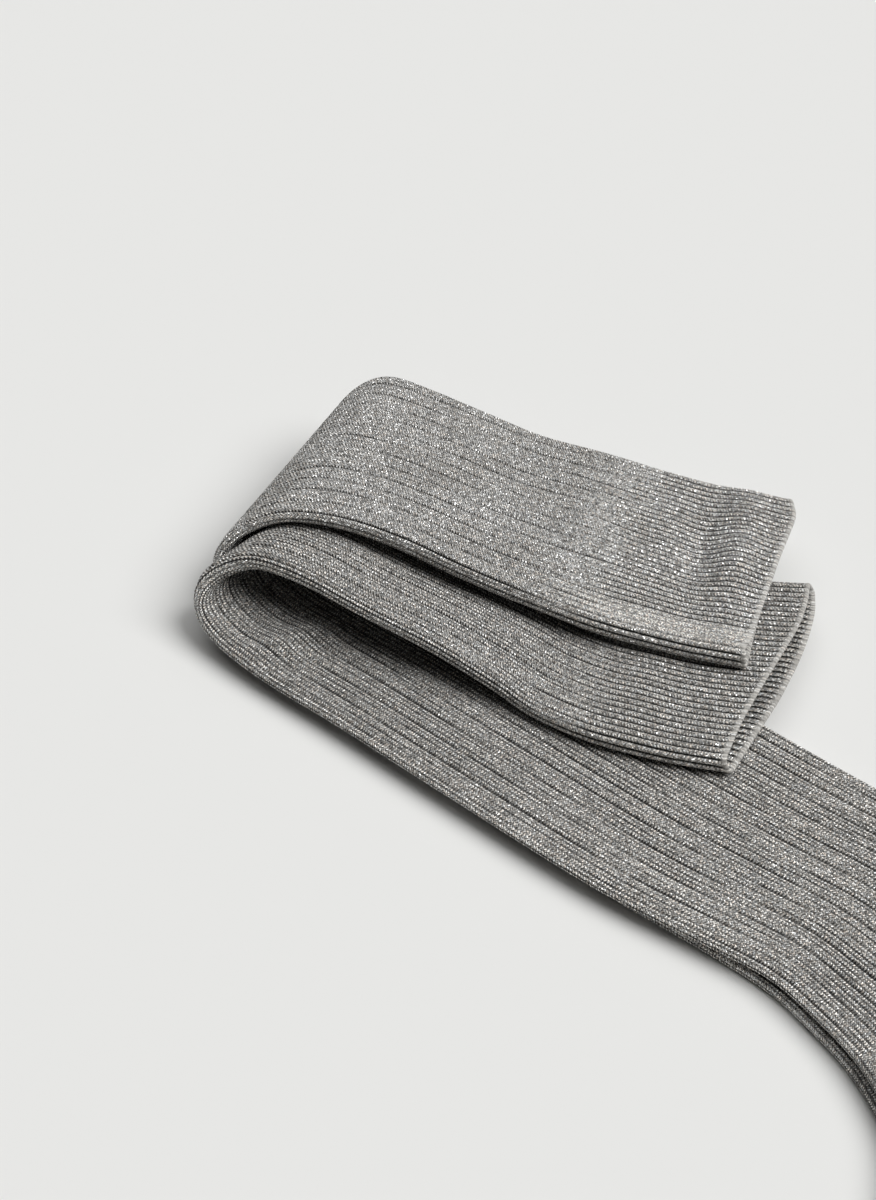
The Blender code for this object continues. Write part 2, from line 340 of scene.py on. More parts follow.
# %% [markdown]
# ## The knit's own relief
#
# One-by-one rib has a narrow crown and a narrow valley, about 2.2 mm from one to the
# next. The wide rib of the leg is four wales across, with a strong groove between
# ribs, a softer one at the middle and a faint one beside every wale. Each groove is
# a little deeper or shallower than the next, because a hand-finished knit never lies
# quite even. Crowns stay at the tube's outline and grooves go in from it.

# %% Sizes of the knit
AROUND = 432          # points round the tube: 72 cuff ribs of 6, or 108 wales of 4
CUFF_RIBS = 72
WALES = 108
FLAT_ROUND = 162      # millimetres round the flat tube
WELT = 0.7            # plain edge at the rim
CUFF_DEPTH = 0.80
GROOVE_DEPTHS = (0.90, 0.20, 0.46, 0.20)   # rib, wale, half rib, wale
GROOVE_WIDTH = 0.20   # of a wale
CROWN_DEPTH = 0.12    # how far a wide rib's sides lie below its middle
PLAIN_DEPTH = 0.10    # of heel and toe
BLEND = (28.0, 12.0)  # before and after the cuff's end, where its rib turns into the leg's
print("ribs every", round(FLAT_ROUND / CUFF_RIBS, 2), "mm in the cuff;",
      "wales", round(FLAT_ROUND / WALES, 2), "mm in the leg")

# %% Uneven grooves
CREASE_GROOVES = slice(52, 54)   # the two grooves along the front crease
CREASE_SHARE = 1.4

draw = np.random.default_rng(7)
groove_share = draw.uniform(0.70, 1.25, WALES)
groove_share[CREASE_GROOVES] = CREASE_SHARE
groove_phase = draw.uniform(0.0, 2 * math.pi, WALES)
print("grooves from", round(groove_share.min(), 2), "to", round(groove_share.max(), 2), "of their depth")

# %% Relief of each kind of knit


def smoothstep(low, high, value):
    """0 below low, 1 above high, and a soft step between."""
    part = np.clip((value - low) / (high - low), 0.0, 1.0)
    return part * part * (3 - 2 * part)


def cuff_relief(turn):
    """Depth of the one-by-one rib at a share of the way round the tube."""
    place = (turn * CUFF_RIBS) % 1.0
    return -CUFF_DEPTH * (1 - np.sin(math.pi * place) ** 0.6)


def leg_relief(turn, along):
    """Depth of the wide rib, with every groove's own strength."""
    wale = turn * WALES
    depth = np.zeros(np.broadcast(turn, along).shape)
    depths = np.array(GROOVE_DEPTHS)
    for side in (0, 1):
        groove = (np.floor(wale + 1e-6).astype(int) + side) % WALES
        gap = np.abs(wale - np.floor(wale + 1e-6) - side)
        swell = 1 + 0.3 * np.sin(along / 23.0 + groove_phase[groove])
        own = depths[groove % 4] * groove_share[groove] * swell
        depth = depth - own * np.exp(-((gap / GROOVE_WIDTH) ** 2))
    return depth - CROWN_DEPTH * (1 + np.cos(2 * math.pi * wale / 4))


def plain_relief(turn, along):
    """Plain knit: every wale alike and shallow."""
    place = (turn * WALES) % 1.0
    return -PLAIN_DEPTH * (1 - np.abs(np.sin(math.pi * place))) + 0 * along


print("cuff rib", CUFF_DEPTH, "mm deep, plain knit", PLAIN_DEPTH, "mm")

# %% Relief of a whole sock
STRIP_TURN, STRIP_WIDTH = 0.450, 0.034   # shares of the way round: pressed smooth by the crease
STRIP_END, STRIP_FADE = 62.0, 30.0       # millimetres from the rim
STRIP_PRESS = 0.85                       # how much of the rib is pressed out there


def pressed_strip(turn, along):
    """1 on the smooth strip beside the crease of the outer cuff, 0 elsewhere."""
    across = 1 - smoothstep(0.4 * STRIP_WIDTH, STRIP_WIDTH, np.abs(turn - STRIP_TURN))
    return across * (1 - smoothstep(STRIP_END - STRIP_FADE, STRIP_END, along))


def relief(turn, along, path):
    """The knit's depth on a whole sock."""
    cuff_end = path.starts["leg"]
    heel, foot, toe = path.starts["heel"], path.starts["foot"], path.starts["toe"]
    in_leg = smoothstep(cuff_end - BLEND[0], cuff_end + BLEND[1], along)
    plain = smoothstep(heel - 2, heel + 2, along) - smoothstep(foot - 2, foot + 2, along)
    plain = plain + smoothstep(toe - 2, toe + 2, along)
    wide = leg_relief(turn, along) * (1 - plain) + plain_relief(turn, along) * plain
    past_welt = smoothstep(WELT - 0.9, WELT + 1.2, along)
    cuff = cuff_relief(turn) * past_welt
    if path is outer_path:
        cuff = cuff * (1 - STRIP_PRESS * pressed_strip(turn, along))
    return cuff * (1 - in_leg) + wide * in_leg


print("the pressed strip is", round(2 * STRIP_WIDTH * FLAT_ROUND), "mm wide and", STRIP_END, "mm long")

# %% [markdown]
# ## Creases and swells, placed one by one
#
# Cloth that has been folded by hand keeps soft swells. Each row of the table is one:
# the sock and which of its walls (+1 outside of the fold, -1 inside, 0 both), the
# distance from the rim, the distance from the instep edge, the direction of its long
# axis, its half length and half width, and its height outward.

# %% Swells
Swell = namedtuple("Swell", "sock wall along across turn half_length half_width height")
SWELLS = [
    Swell("outer", 1, 11.0, 46.0, 84.0, 25.0, 6.5, 2.6),
    Swell("outer", 1, 23.0, 46.0, 80.0, 26.0, 7.0, -2.0),
    Swell("outer", 1, 52.0, 36.0, 50.0, 26.0, 9.0, 1.2),
    Swell("inner", 1, 30.0, 24.0, 80.0, 22.0, 8.0, 0.9),
    Swell("inner", 0, 100.0, 38.0, 0.0, 46.0, 15.0, -3.4),
    Swell("inner", -1, 196.0, 16.0, 60.0, 14.0, 6.0, 2.6),
]


def swell_height(sock, wall_share, along, across):
    """How far the listed swells lift the knit at each point."""
    lift = np.zeros(np.broadcast(wall_share, along, across).shape)
    for swell in SWELLS:
        if swell.sock != sock:
            continue
        turn = math.radians(swell.turn)
        x, y = along - swell.along, across - swell.across
        length = x * math.cos(turn) + y * math.sin(turn)
        width = -x * math.sin(turn) + y * math.cos(turn)
        mound = np.exp(-((length / swell.half_length) ** 2) - (width / swell.half_width) ** 2)
        if swell.wall == 0:
            lift = lift + swell.height * mound
        else:
            on_wall = smoothstep(-1.0, 1.0, wall_share * swell.wall)
            lift = lift + swell.wall * swell.height * mound * on_wall
    return lift


print(len(SWELLS), "swells")

# %% [markdown]
# ## Rims
#
# The two walls of a cuff never end exactly above each other. The inner sock's lower
# wall sticks out past the upper one, and its upper rim runs in a lazy S. Each rim is
# a short table: how far it reaches past the straight line at shares of the way from
# the instep edge to the calf edge.

# %% Rims
RIM_FADE = 16.0       # from the rim, where its reach has died out
RIM_SHARES = (0.0, 0.2, 0.4, 0.6, 0.75, 0.9, 1.0)
Rim = namedtuple("Rim", "upper lower")
RIMS = {
    "outer": Rim((0.0, 0.2, 0.3, 0.4, 0.8, 1.2, -2.4), (0.6, -0.4, -0.8, -0.8, -0.4, 0.0, -2.8)),
    "inner": Rim((0.0, -0.8, 0.0, 1.2, 2.0, 1.0, -1.2), (1.6, 3.2, 5.0, 5.4, 4.8, 3.2, 0.2)),
}
# A small dent where the outer sock's rim turns under: its depth, place and half width.
NOTCH_DEPTH, NOTCH_SHARE, NOTCH_WIDTH = 1.5, 0.045, 0.012
RIM_POINTS, RIM_SOFTEN = 101, 21   # points along a rim, and how many of them are evened out


def rim_line(values):
    """A rim's reach at even shares of the way across, without corners."""
    line = np.interp(np.linspace(0, 1, RIM_POINTS), RIM_SHARES, values)
    kernel = np.hanning(RIM_SOFTEN) / np.hanning(RIM_SOFTEN).sum()
    return np.convolve(np.pad(line, RIM_SOFTEN // 2, mode="edge"), kernel, "valid")


def rim_reach(sock, wall_share, share, along):
    """How far a point near the rim is pulled out past the straight rim."""
    even = np.linspace(0, 1, RIM_POINTS)
    on_upper = (1 + wall_share) / 2
    reach = np.interp(share, even, rim_line(RIMS[sock].upper)) * on_upper
    reach = reach + np.interp(share, even, rim_line(RIMS[sock].lower)) * (1 - on_upper)
    if sock == "outer":
        reach = reach - NOTCH_DEPTH * np.exp(-(((share - NOTCH_SHARE) / NOTCH_WIDTH) ** 2)) * on_upper
    return reach * (1 - smoothstep(0.0, RIM_FADE, along))


print("rims reach from", min(min(rim.upper + rim.lower) for rim in RIMS.values()),
      "to", max(max(rim.upper + rim.lower) for rim in RIMS.values()), "mm past the straight line")

# %% [markdown]
# ## Building a piece
#
# A knitted tube could be made as a sheet, pressed and folded by a cloth simulation, but
# the fold would then land where it likes. So the tube is lofted through the sections,
# which puts every crease where the photo has it.
#
# Round the tube, a section is flat on both sides and rounded at both edges. The
# points are spread evenly round it, from the middle of the calf edge over the upper
# wall to the instep edge and back under, so a wale keeps its own column of points
# all along the sock. A piece is an outer skin, an inner skin one wall further in,
# and a closing strip at each end. Its UV map holds the share of the way round and
# the distance from the rim in millimetres, which the yarn's pattern is drawn on.

# %% Section outline
EDGE_POINTS = 24
EDGE_POWER = 2.5              # 2 is a half circle; more is squarer
ROUND_BELOW, SQUARE_ABOVE = 3.6, 5.0   # thickness in millimetres
Place = namedtuple("Place", "middle side normal ahead width thick far_thick")


def outline(place, inset, count):
    """Points round a section as (across, up), spread evenly from the calf edge."""
    power = 2 + (EDGE_POWER - 2) * float(smoothstep(ROUND_BELOW, SQUARE_ABOVE, place.thick))
    angle = np.linspace(0.0, math.pi / 2, EDGE_POINTS)
    round_out = np.cos(angle) ** (2 / power)
    round_up = np.sin(angle) ** (2 / power)
    far_half, near_half = place.far_thick / 2, place.thick / 2
    far = place.width / 2 - far_half + (far_half - inset) * round_out
    near = -place.width / 2 + near_half - (near_half - inset) * round_out[::-1]
    across = np.concatenate([far, near])
    up = np.concatenate([(far_half - inset) * round_up, (near_half - inset) * round_up[::-1]])
    length = np.concatenate([[0.0], np.cumsum(np.hypot(np.diff(across), np.diff(up)))])
    even = np.linspace(0.0, length[-1], count // 2 + 1)
    across, up = np.interp(even, length, across), np.interp(even, length, up)
    across = np.concatenate([across, across[-2:0:-1]])
    up = np.concatenate([up, -up[-2:0:-1]])
    return across, up


def outward(across, up):
    """The direction out of a section at each of its points."""
    out_across = np.gradient(np.concatenate([up[-1:], up, up[:1]]))[1:-1]
    out_up = -np.gradient(np.concatenate([across[-1:], across, across[:1]]))[1:-1]
    size = np.hypot(out_across, out_up)
    return out_across / size, out_up / size


print("a section has", AROUND, "points round it")

# %% Place of a section


def path_row(path, along):
    """The path's edges and thickness at a distance from the rim."""
    return np.array([np.interp(along, path.along, column) for column in path.columns.T])


def section_place(path, along):
    """The middle of a section, its directions and its size."""
    here, before, after = path_row(path, along), path_row(path, along - 1), path_row(path, along + 1)
    near, far = here[0:3], here[3:6]
    ahead = after[0:3] + after[3:6] - before[0:3] - before[3:6]
    ahead /= np.linalg.norm(ahead)
    width = np.linalg.norm(far - near)
    side = (far - near) / width
    normal = np.cross(side, ahead)
    normal /= np.linalg.norm(normal)
    return Place((near + far) / 2, side, normal, ahead, width, here[6], here[7])


for name, path in (("outer", outer_path), ("inner", inner_path)):
    rim = section_place(path, 0.0)
    print(name, "rim is", round(float(rim.width), 1), "mm wide and", round(float(rim.thick), 1), "mm thick")

# %% Skin of a sock


def skin(sock, path, stations, inset, count, ribbed):
    """Rings of points for one skin of a sock, at the given distances from the rim."""
    turn = np.arange(count) / count
    rings = np.zeros((len(stations), count, 3))
    for index, along in enumerate(stations):
        place = section_place(path, along)
        across, up = outline(place, inset, count)
        out_across, out_up = outward(across, up)
        share = np.clip(across / place.width + 0.5, 0, 1)
        half = (place.thick * (1 - share) + place.far_thick * share) / 2 - inset
        wall_share = np.clip(up / half, -1, 1)
        if ribbed:
            depth = relief(turn, along, path)
            across = across + depth * out_across
            up = up + depth * out_up
        up = up + swell_height(sock, wall_share, along, share * place.width)
        reach = rim_reach(sock, wall_share, share, along)
        flat = place.middle + place.side * across[:, None] - place.ahead * reach[:, None]
        rings[index] = flat + place.normal * up[:, None]
    return rings


print("the outer skin has ribs; the inner skin lies", WALL, "mm further in")

# %% [markdown]
# ## Faces between the rings
#
# Neighbouring rings are joined by four-sided faces. Where the two skins meet at the end
# of a piece, a strip of triangles closes the wall, because the inner skin of a leg has
# fewer points than the outer one. Only at the rim does the knit turn over from the
# outside to the inside, so there the two skins are joined by a few small round rings.

# %% Faces and strips
INSIDE = 54           # points round an inner skin, where it never shows


def ring_faces(rows, count, first, outside):
    """Quads between neighbouring rings, with their places in the UV map."""
    row, column = np.meshgrid(np.arange(rows - 1), np.arange(count), indexing="ij")
    row, column = row.ravel(), column.ravel()
    following = (column + 1) % count
    corners = np.stack([
        row * count + column, row * count + following,
        (row + 1) * count + following, (row + 1) * count + column,
    ], axis=1) + first
    turns = np.stack([column, column + 1, column + 1, column], axis=1) / count
    rings = np.stack([row, row, row + 1, row + 1], axis=1)
    if not outside:
        corners, turns, rings = corners[:, ::-1], turns[:, ::-1], rings[:, ::-1]
    return [tuple(corner) for corner in corners.tolist()], turns, rings


def end_strip(outer_first, inner_first, inner_count, along, at_start):
    """The closing strip between the two skins at one end, as triangles with their map."""
    share = AROUND // inner_count
    faces, turns = [], []
    for index in range(inner_count):
        inner_now = inner_first + index
        inner_next = inner_first + (index + 1) % inner_count
        for step in range(share):
            a = index * share + step
            faces.append((outer_first + a, outer_first + (a + 1) % AROUND, inner_now))
            turns.append((a / AROUND, (a + 1) / AROUND, a / AROUND))
        a = (index + 1) * share
        faces.append((outer_first + a % AROUND, inner_next, inner_now))
        turns.append((a / AROUND, a / AROUND, index * share / AROUND))
    if not at_start:
        faces = [face[::-1] for face in faces]
        turns = [turn[::-1] for turn in turns]
    return faces, np.array([(turn, along) for corners in turns for turn in corners])


print("inner skins have", INSIDE, "points round them")

# %% Tubes
RIM_ANGLES = (150, 120, 90, 60, 30)   # from the inner skin over the rim to the outer one
RIM_BULGE = 1.3                       # 1 is a half circle


def rim_rings(path, outer_ring, inner_ring):
    """Small rings that carry the knit over the rim."""
    step = path_row(path, 2.0) - path_row(path, 0.0)
    forward = step[0:3] + step[3:6]
    forward /= np.linalg.norm(forward)
    rings = []
    for angle in np.radians(RIM_ANGLES):
        share = (1 - math.cos(angle)) / 2
        bulge = WALL / 2 * RIM_BULGE * math.sin(angle)
        rings.append(outer_ring * (1 - share) + inner_ring * share - forward * bulge)
    return np.array(rings)


def cuff_tube(sock, path, stations):
    """A cuff: in along the inner skin, over the rim and back along the outer one."""
    outer = skin(sock, path, stations, 0.0, AROUND, True)
    inner = skin(sock, path, stations, WALL, AROUND, True)
    tips = rim_rings(path, outer[0], inner[0])
    rings = np.concatenate([inner[::-1], tips, outer])
    places = np.concatenate([stations[::-1], np.zeros(len(tips)), stations])
    faces, turns, rows = ring_faces(len(rings), AROUND, 0, True)
    uvs = np.stack([turns, places[rows]], axis=2).reshape(-1, 2)
    strip, strip_uvs = end_strip((len(rings) - 1) * AROUND, 0, AROUND, stations[-1], False)
    return rings.reshape(-1, 3), faces + strip, np.vstack([uvs, strip_uvs])


def end_caps(outer_last, inner_last, along):
    """The toe's two closing faces, one for each skin, with their map."""
    faces, uvs = [], []
    for last, count, order in ((outer_last, AROUND, 1), (inner_last, INSIDE, -1)):
        faces.append(tuple(range(last, last + count))[::order])
        uvs.append(np.array([(index / count, along) for index in range(count)])[::order])
    return faces, np.vstack(uvs)


def plain_tube(sock, path, stations, closed):
    """Leg, heel, foot or toe: two skins, joined at the ends or closed at the toe."""
    outer = skin(sock, path, stations, 0.0, AROUND, True)
    inner = skin(sock, path, stations, WALL, INSIDE, False)
    inner_first = len(stations) * AROUND
    outer_last, inner_last = inner_first - AROUND, inner_first + (len(stations) - 1) * INSIDE
    faces, uvs = [], []
    for count, first, outside in ((AROUND, 0, True), (INSIDE, inner_first, False)):
        quads, turns, rows = ring_faces(len(stations), count, first, outside)
        faces += quads
        uvs.append(np.stack([turns, stations[rows]], axis=2).reshape(-1, 2))
    ends = [end_strip(0, inner_first, INSIDE, stations[0], True)]
    if closed:
        ends.append(end_caps(outer_last, inner_last, stations[-1]))
    else:
        ends.append(end_strip(outer_last, inner_last, INSIDE, stations[-1], False))
    for end_faces, end_uvs in ends:
        faces += end_faces
        uvs.append(end_uvs)
    return np.vstack([outer.reshape(-1, 3), inner.reshape(-1, 3)]), faces, np.vstack(uvs)


print("the rim turns over in", len(RIM_ANGLES), "rings")

# %% Object from a tube


def keep_ends_crisp(mesh):
    """Marks the edges between a piece's knit and its closing strips as sharp."""
    corners = {}
    for face in mesh.polygons:
        for key in face.edge_keys:
            corners.setdefault(key, []).append(len(face.vertices))
    sharp = mesh.attributes.new("sharp_edge", "BOOLEAN", "EDGE")
    marks = [sorted(corners[tuple(sorted(edge.vertices))]) == [3, 4] for edge in mesh.edges]
    sharp.data.foreach_set("value", marks)


def knit_object(name, vertices, faces, uvs):
    """A tube's points and faces as an object at the origin, with its UV map."""
    mesh = bpy.data.meshes.new(name)
    mesh.from_pydata(((vertices - ORIGIN) * MM).tolist(), [], faces)
    layer = mesh.uv_layers.new(name="knit")
    layer.data.foreach_set("uv", uvs.astype(np.float32).ravel())
    mesh.shade_smooth()
    keep_ends_crisp(mesh)
    piece = bpy.data.objects.new(name, mesh)
    bpy.context.scene.collection.objects.link(piece)
    return piece


def build_piece(name, sock, path, kind, start, end):
    """One piece of a sock between two distances from the rim."""
    stations = np.linspace(start, end, max(3, round((end - start) / STEPS[kind]) + 1))
    if kind == "cuff":
        return knit_object(name, *cuff_tube(sock, path, stations))
    return knit_object(name, *plain_tube(sock, path, stations, kind == "toe"))


STEPS = {"cuff": 1.1, "leg": 1.9, "heel": 2.2, "foot": 2.4, "toe": 2.2}
print("millimetres between rings:", STEPS)

# %% [markdown]
# ## The yarn
#
# Seen close, a knit stitch is a V: two short strands that lean towards each other.
# Modelled strand by strand, a pair of socks would need millions of faces, so the
# strands are drawn in the material, from the UV map. Across a wale they lean, and along
# it they repeat every course. Each yarn twist gets its own shade, because the yarn is a
# melange of light, warm and dark fibres, and a few places are bare metallic yarn that
# glints. The gaps between strands are painted dark, as painted shade.
#
# A material's maths is easier to read as Python. The first class below wraps a node's
# output, so that values can be added and multiplied; the second one adds the nodes.

# %% A value in a material


class Level:
    """A value in a material that can be reckoned with like a number."""

    def __init__(self, paint, socket):
        self.paint = paint
        self.socket = socket

    def __add__(self, other):
        return self.paint.math("ADD", self, other)

    def __radd__(self, other):
        return self + other

    def __sub__(self, other):
        return self.paint.math("SUBTRACT", self, other)

    def __rsub__(self, other):
        return self.paint.math("SUBTRACT", other, self)

    def __mul__(self, other):
        return self.paint.math("MULTIPLY", self, other)

    def __truediv__(self, other):
        return self.paint.math("DIVIDE", self, other)


print("values can be added, subtracted, multiplied and divided")

# %% A material's nodes


class Paint:
    """One material's nodes, added by a single method."""

    def __init__(self, name):
        self.material = bpy.data.materials.new(name)
        self.material.use_nodes = True
        self.tree = self.material.node_tree
        self.shader = self.tree.nodes["Principled BSDF"]

    def feed(self, socket, value):
        if isinstance(value, Level):
            self.tree.links.new(value.socket, socket)
        else:
            socket.default_value = value

    def node(self, kind, settings, inputs, output=0):
        made = self.tree.nodes.new(kind)
        for key, value in settings.items():
            setattr(made, key, value)
        for key, value in inputs.items():
            self.feed(made.inputs[key], value)
        return Level(self, made.outputs[output])

    def math(self, operation, *values):
        return self.node("ShaderNodeMath", {"operation": operation}, dict(enumerate(values)))

    def vector_math(self, operation, inputs):
        return self.node("ShaderNodeVectorMath", {"operation": operation}, inputs)

    def ramp(self, value, low, high, start=0.0, end=1.0):
        inputs = {"Value": value, "From Min": low, "From Max": high, "To Min": start, "To Max": end}
        return self.node("ShaderNodeMapRange", {"interpolation_type": "SMOOTHSTEP"}, inputs)

    def blend(self, share, first, second):
        return self.node("ShaderNodeMix", {"data_type": "RGBA"}, {0: share, 6: first, 7: second}, 2)

    def shaded(self, color, tone):
        """A colour made lighter or darker by a number."""
        return self.vector_math("SCALE", {0: color, "Scale": tone})


print("nodes for maths, vectors, ramps, blends and shades")

# %% Chance and noise in a material
THREE_D = {"noise_dimensions": "3D"}


def point(paint, x, y, z):
    """Three values as one place."""
    return paint.node("ShaderNodeCombineXYZ", {}, {"X": x, "Y": y, "Z": z})


def chance(paint, x, y, seed):
    """A number from 0 to 1 for each whole x and y."""
    return paint.node("ShaderNodeTexWhiteNoise", THREE_D, {"Vector": point(paint, x, y, float(seed))})


def cloud(paint, place, scale, detail):
    """Soft blotches from 0 to 1."""
    return paint.node("ShaderNodeTexNoise", THREE_D, {"Vector": place, "Scale": scale, "Detail": detail})


def on_piece(paint):
    """The place on the piece, in metres."""
    return paint.node("ShaderNodeTexCoord", {}, {}, "Object")


def knit_map(paint):
    """The share of the way round the tube, and the millimetres from the rim."""
    uv = paint.node("ShaderNodeUVMap", {"uv_map": "knit"}, {})
    turn = paint.node("ShaderNodeSeparateXYZ", {}, {"Vector": uv}, "X")
    along = paint.node("ShaderNodeSeparateXYZ", {}, {"Vector": uv}, "Y")
    return turn, along


print("chance, clouds and the knit's own map ready")

# %% [markdown]
# ## Stitches, grooves and ribs
#
# The outer sock's knit has a few strong rib lines on a rather smooth face. The inner
# sock's lower run is drawn tighter, and every wale of it shows. On both, the narrow
# band along the front crease shows the grooves stretched open. The grooves and the gaps
# between strands are darkened in the yarn's colour as painted shade, and the band is
# painted lighter as painted light. A small table of looks holds these differences, and
# the same functions draw them all.

# %% Looks of the three knits
# rib, half_rib and wale say how dark each kind of groove is painted, as painted shade,
# from 0 to 1, and crease is the groove that runs along the front crease. even is how dark
# a groove stays where it is faintest, gap_depth how dark the gaps between strands are
# painted, as painted shade, and pressed says whether the cuff has the smooth strip. Then
# come the tones of cuff and leg, and the share of places with bare metallic yarn.
Knit = namedtuple("Knit", "rib half_rib wale crease even gap_depth pressed cuff_tone leg_tone glints")
OUTER_LOOK = Knit(0.90, 0.55, 0.32, 52, 0.56, 0.91, True, 0.625, 0.70, 0.42)
INNER_LOOK = Knit(1.00, 0.95, 0.85, 53, 0.60, 0.92, False, 0.530, 0.745, 0.18)
PLAIN_LOOK = Knit(0.30, 0.30, 0.30, 0, 0.60, 0.70, False, 0.60, 0.60, 0.12)
print("tones of the legs:", OUTER_LOOK.leg_tone, "outer,", INNER_LOOK.leg_tone, "inner")

# %% Stitches
COURSE = 0.9          # millimetres from one row of stitches to the next
LEAN = 1.0            # courses that a strand climbs across half a wale
LEG_CROWN, CUFF_CROWN = 1.05, 0.78   # of half a wale: where the strands end
MIDDLE_DIP = 0.6      # height left in the middle of the V


def stitch_height(paint, wale, along, crown):
    """Relief of the V stitches: two leaning strands beside each other in a wale."""
    aside = paint.math("ABSOLUTE", paint.math("FRACT", wale) - 0.5) * 2.0
    strand = paint.math("FRACT", along / COURSE + aside * LEAN)
    hump = paint.math("SINE", strand * math.pi)
    on_crown = 1.0 - paint.ramp(aside, crown - 0.2, crown + 0.15)
    middle = paint.ramp(aside, 0.0, 0.14, MIDDLE_DIP, 1.0)
    return hump * on_crown * middle


print("stitches every", COURSE, "mm along the sock")

# %% Grooves of the wide rib
WAVER = 0.10                  # of a wale: the groove's edge bends in and out at each stitch
# A groove's darkness is painted shade in the yarn's colour; along the front crease every groove gets it.
CREASE_GROOVE = 0.85          # how dark every groove is along the front crease
LINE_START, LINE_END = 0.10, 0.34   # of a wale: from the groove's dark middle to its edge
RIB_WIDER, CREASE_WIDER = 0.14, 0.04
WANDER_STEP, WANDER_RATE = 7.31, 0.035   # how the darkness changes from groove to groove and along it


def painted_groove_shade(paint, wale, along, on_face, knit):
    """How dark the groove is painted at each place of the leg, as painted shade."""
    groove = paint.math("FLOOR", wale + 0.5)
    waver = paint.math("SINE", along * (2 * math.pi / COURSE)) * WAVER
    gap = paint.math("ABSOLUTE", wale - groove) + waver
    kind = paint.math("MODULO", groove, 4.0)
    at_rib = paint.math("LESS_THAN", kind, 0.5)
    at_half = paint.math("COMPARE", kind, 2.0, 0.5)
    at_crease = paint.math("COMPARE", groove, float(knit.crease), 0.5)
    strength = at_rib * (knit.rib - knit.wale) + at_half * (knit.half_rib - knit.wale) + knit.wale
    strength = paint.math("MAXIMUM", strength, CREASE_GROOVE - on_face)
    wander = cloud(paint, point(paint, groove * WANDER_STEP, along * WANDER_RATE, 2.0), 1.0, 1.0)
    share = paint.math("MAXIMUM", strength * paint.ramp(wander, 0.30, 0.62, knit.even, 1.0), at_crease)
    edge = at_rib * RIB_WIDER + at_crease * CREASE_WIDER + LINE_END
    return (1.0 - paint.ramp(gap, LINE_START, edge)) * share


print("grooves waver by", WAVER, "of a wale")

# %% Surface of leg and cuff
# A surface is what the yarn is drawn on: the stitches' height, which also sets the painted
# shade in the gaps, and the grooves' painted shade, how bright the yarn is, and where the
# strip is pressed smooth.
Surface = namedtuple("Surface", "height groove brightness strip")
FRAY = 24.0                          # millimetres over which the cuff's end is ragged
# The valleys of the cuff's rib are painted dark, as painted shade, over this span of half a rib.
VALLEY_PAINTED_SHADE = (0.52, 0.88)                # of half a rib: from its crown to the valley's floor
CUFF_FLOOR, CUFF_STITCH = 0.36, 0.60   # height of the cuff's knit and of its stitches
# Over this span from the rim the leg is painted lighter: painted light, where less of the fold's shade
# falls.
LOWER_LEG = (220.0, 350.0)           # from the rim, where the leg gets lighter
LOWER_LEG_PAINTED_LIGHT = (0.94, 1.19)
STRIP_FILL = 0.30                    # how far the stitches' gaps are pressed shut


def leg_surface(paint, turn, along, on_face, knit):
    """The wide rib; heel and toe have the same one, with every groove alike."""
    wale = turn * float(WALES)
    height = stitch_height(paint, wale, along, LEG_CROWN)
    groove = painted_groove_shade(paint, wale, along, on_face, knit)
    return Surface(height, groove, knit.leg_tone, 0.0)


def pressed_shade(paint, turn, along):
    """1 on the pressed strip beside the crease, as in the relief."""
    aside = paint.math("ABSOLUTE", turn - STRIP_TURN)
    across = 1.0 - paint.ramp(aside, 0.4 * STRIP_WIDTH, STRIP_WIDTH)
    return across * (1.0 - paint.ramp(along, STRIP_END - STRIP_FADE, STRIP_END))


def ribbed_surface(paint, turn, along, patch, cuff_end, knit, leg):
    """The cuff's one-by-one rib, which turns into the leg's wide rib past cuff_end."""
    frayed = along + patch * FRAY - FRAY / 2
    in_leg = paint.ramp(frayed, cuff_end - BLEND[0], cuff_end + BLEND[1])
    rib = turn * float(CUFF_RIBS)
    stitches = CUFF_FLOOR + stitch_height(paint, rib, along, CUFF_CROWN) * CUFF_STITCH
    height = stitches * (1.0 - in_leg) + leg.height * in_leg
    # Painted shade in the valleys of the cuff's rib.
    valley = paint.ramp(paint.math("ABSOLUTE", paint.math("FRACT", rib) - 0.5) * 2.0, *VALLEY_PAINTED_SHADE)
    strip = 0.0
    if knit.pressed:
        strip = pressed_shade(paint, turn, along)
        valley = valley * (1.0 - strip * STRIP_PRESS)
        height = height + (1.0 - height) * strip * STRIP_FILL
    # The lower leg is painted lighter away from the fold, as painted light.
    leg_tone = paint.ramp(along, *LOWER_LEG, *LOWER_LEG_PAINTED_LIGHT) * knit.leg_tone
    brightness = in_leg * (leg_tone - knit.cuff_tone) + knit.cuff_tone
    groove = valley * (1.0 - in_leg) + leg.groove * in_leg
    return Surface(height, groove, brightness, strip)


print("the leg gets lighter from", LOWER_LEG[0], "to", LOWER_LEG[1], "mm from the rim")

# %% [markdown]
# ## Melange, painted shade, glints and welt
#
# The yarn's shade comes from a cell for each twist. Most are neutral grey, one in five
# is warmer and one in five cooler. Over it, the gaps and grooves are painted dark as
# painted shade, and the crease's band and the lower leg are painted lighter as painted
# light. A glint is a cell of bare metal whose face is turned a random way, so that only
# some of them catch a lamp. The welt at the rim is a paler, fuzzier yarn.

# %% Melange and painted shade
GRAINS = 432          # yarn twists round the tube, four to a wale
GRAIN = 0.38          # millimetres from one twist to the next along the sock
DARK_FIBRE, LIGHTER, LIGHTEST = 0.36, 0.30, 1.47   # shade of a dark fibre, and how it rises
# In the crease's band the gaps get deeper painted shade, and the strands are painted lighter as painted
# light.
BAND_GAP_PAINTED_SHADE, BAND_PAINTED_LIGHT = 0.96, 0.4      # deeper gaps and lighter strands in the crease's band
